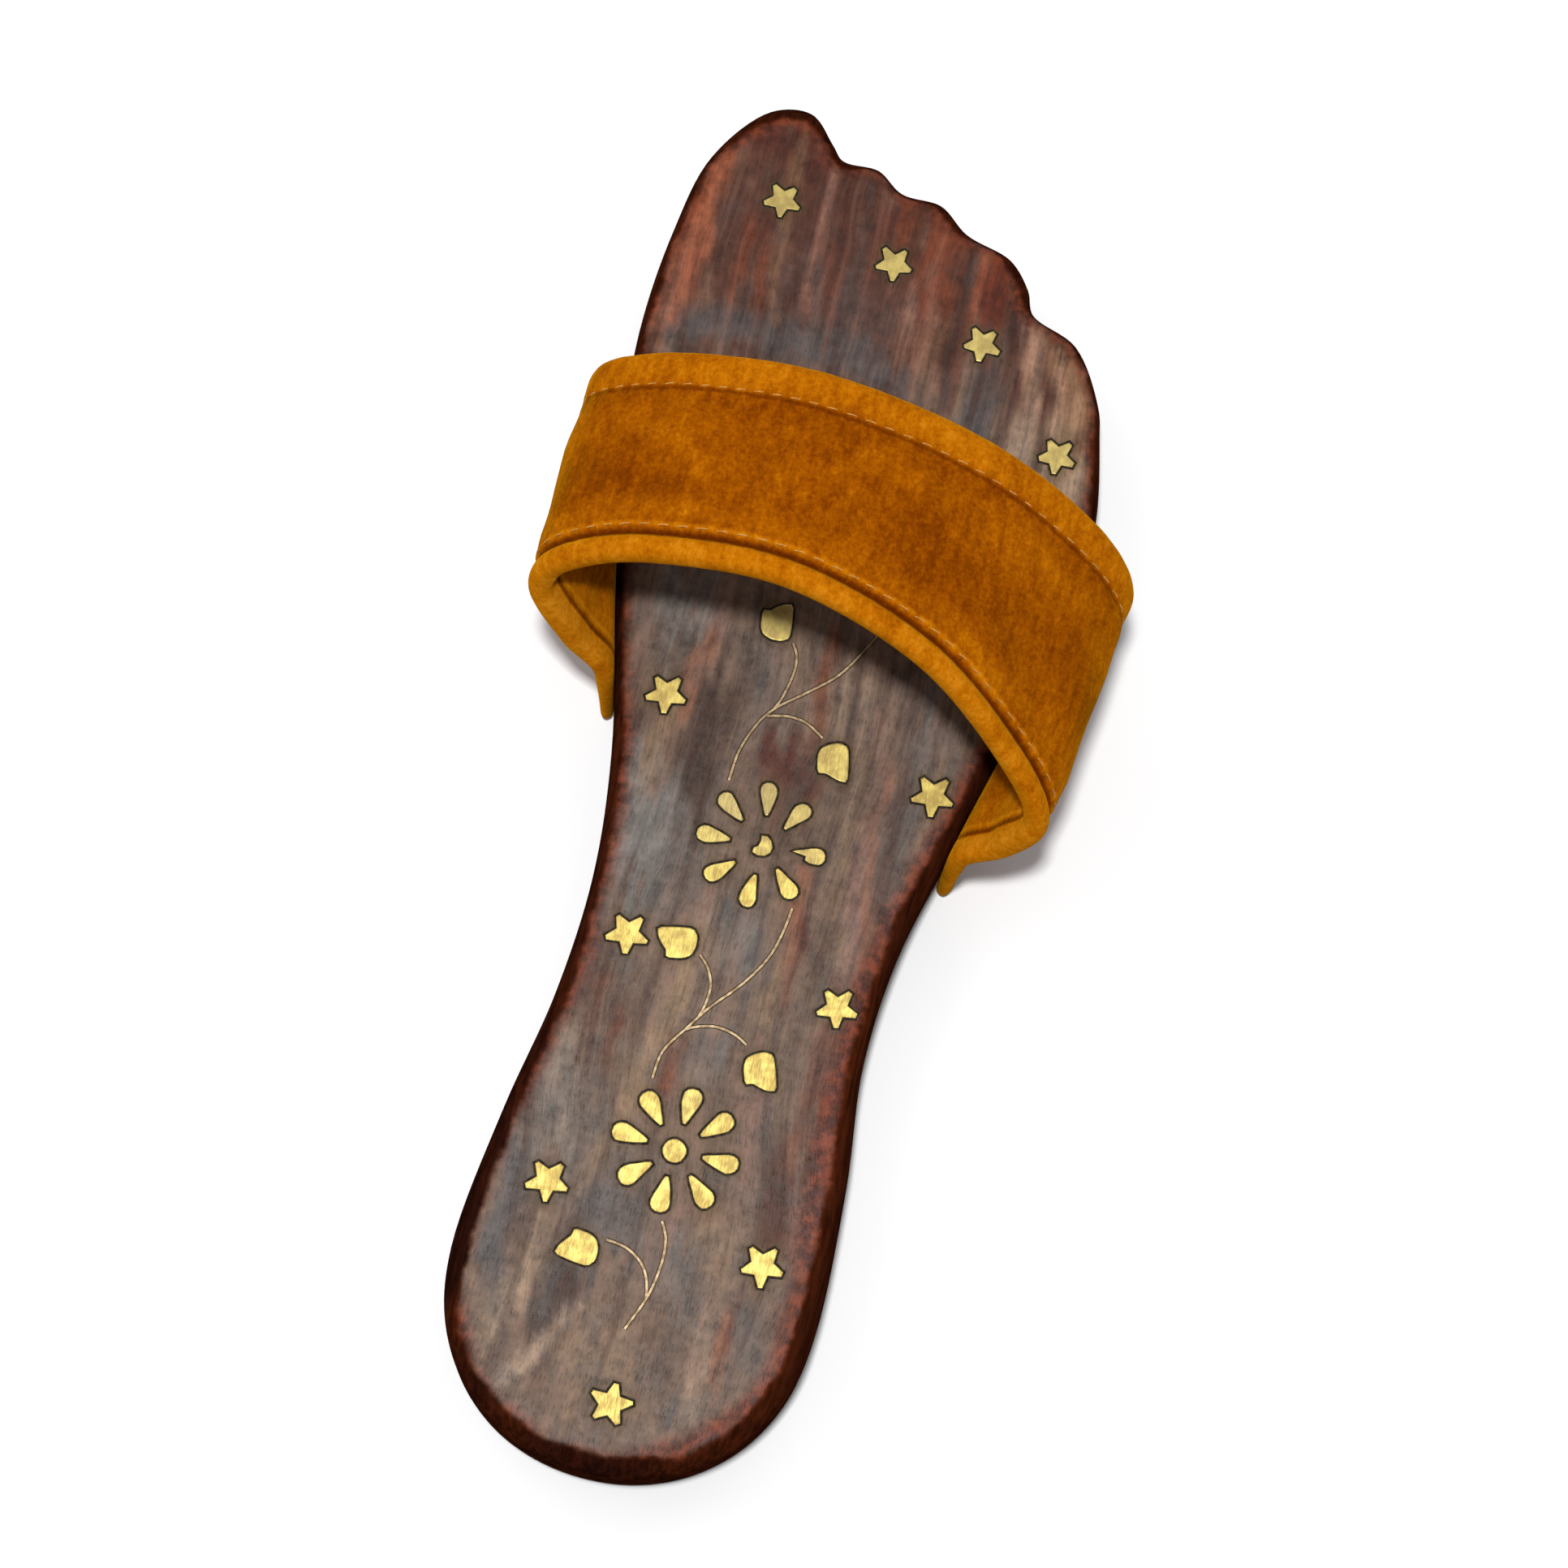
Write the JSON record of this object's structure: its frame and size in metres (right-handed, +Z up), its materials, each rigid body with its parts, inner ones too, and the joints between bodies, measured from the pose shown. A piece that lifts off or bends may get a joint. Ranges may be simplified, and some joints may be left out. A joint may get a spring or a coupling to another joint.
{
  "type": "paduka",
  "caption": "Right-foot paduka: foot-shaped rosewood sole with five carved toes, brass star, flower and vine inlay, and one padded ochre cloth strap, open underneath.",
  "frame": {"origin": "the middle of the heel pad, on the floor that the sandal stands on", "axes": "+Z up from the floor through the footbed, +Y along the sole towards the toes, +X across the sole towards the little toe, the lateral side of this right shoe"},
  "size_m": [0.1088, 0.2666, 0.0697],
  "materials": {
    "rosewood": "satin oiled rosewood, dark rounded edges",
    "brass": "filed flush, softly brushed",
    "ochre_velvet": "short matt nap"
  },
  "bodies": {
    "root": {"sole": "rosewood", "strap": "ochre_velvet", "star_01": "brass", "star_02": "brass", "star_03": "brass", "star_04": "brass", "star_05": "brass", "star_06": "brass", "star_07": "brass", "star_08": "brass", "star_09": "brass", "star_10": "brass", "star_11": "brass", "star_12": "brass", "upper_flower_dot": "brass", "lower_flower_dot": "brass", "upper_flower_petal_1": "brass", "upper_flower_petal_2": "brass", "upper_flower_petal_3": "brass", "upper_flower_petal_4": "brass", "upper_flower_petal_5": "brass", "upper_flower_petal_6": "brass", "upper_flower_petal_7": "brass", "upper_flower_petal_8": "brass", "lower_flower_petal_1": "brass", "lower_flower_petal_2": "brass", "lower_flower_petal_3": "brass", "lower_flower_petal_4": "brass", "lower_flower_petal_5": "brass", "lower_flower_petal_6": "brass", "lower_flower_petal_7": "brass", "lower_flower_petal_8": "brass", "bud_1": "brass", "bud_2": "brass", "bud_3": "brass", "bud_4": "brass", "bud_5": "brass", "upper_stem": "brass", "middle_stem": "brass", "lower_stem": "brass", "top_bud_stem": "brass", "upper_bud_stem": "brass", "side_bud_stem": "brass", "middle_bud_stem": "brass", "lower_bud_stem": "brass"}
  },
  "joints": []
}
